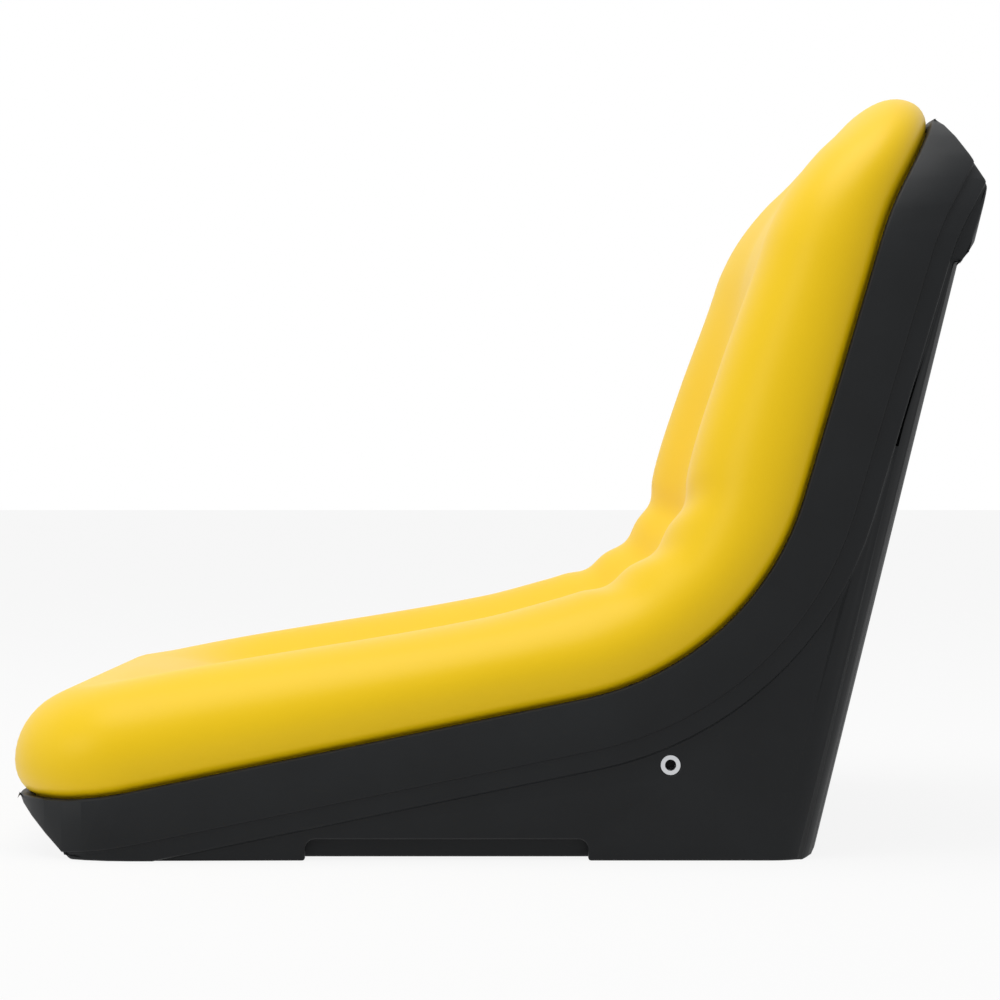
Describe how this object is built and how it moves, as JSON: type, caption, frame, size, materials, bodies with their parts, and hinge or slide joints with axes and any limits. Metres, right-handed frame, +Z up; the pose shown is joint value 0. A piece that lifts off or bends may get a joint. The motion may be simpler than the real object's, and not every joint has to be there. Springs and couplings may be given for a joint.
{
  "type": "utility vehicle seat",
  "caption": "High-backed bucket seat: one padded cushion with side bolsters and lumbar pleats on a moulded black shell with steel mounting rails.",
  "frame": {"origin": "middle of the base plane, under the centre of the bounding box", "axes": "+Z up, +Y towards the backrest, +X to the right of someone who looks along +Y"},
  "size_m": [0.52, 0.6054, 0.476],
  "materials": {
    "shell": "fine moulded texture, satin",
    "cushion": "smooth vinyl cover, satin",
    "pan": "plain moulded",
    "screws": "zinc plated",
    "rails": "black painted steel",
    "inserts": "turned",
    "side_inserts": "zinc plated"
  },
  "bodies": {
    "root": {"seat_shell": "shell", "seat_cushion": "cushion", "cushion_pan": "pan", "seat_screws": "screws", "seat_washers": "screws", "seat_tee_nuts": "screws", "back_screws": "screws", "back_washers": "screws", "back_tee_nuts": "screws", "left_rail": "rails", "right_rail": "rails", "left_mounting_nuts": "screws", "right_mounting_nuts": "screws", "left_rail_screws": "screws", "right_rail_screws": "screws", "left_boss_inserts": "inserts", "right_boss_inserts": "inserts", "left_side_insert": "side_inserts", "right_side_insert": "side_inserts"}
  },
  "joints": []
}
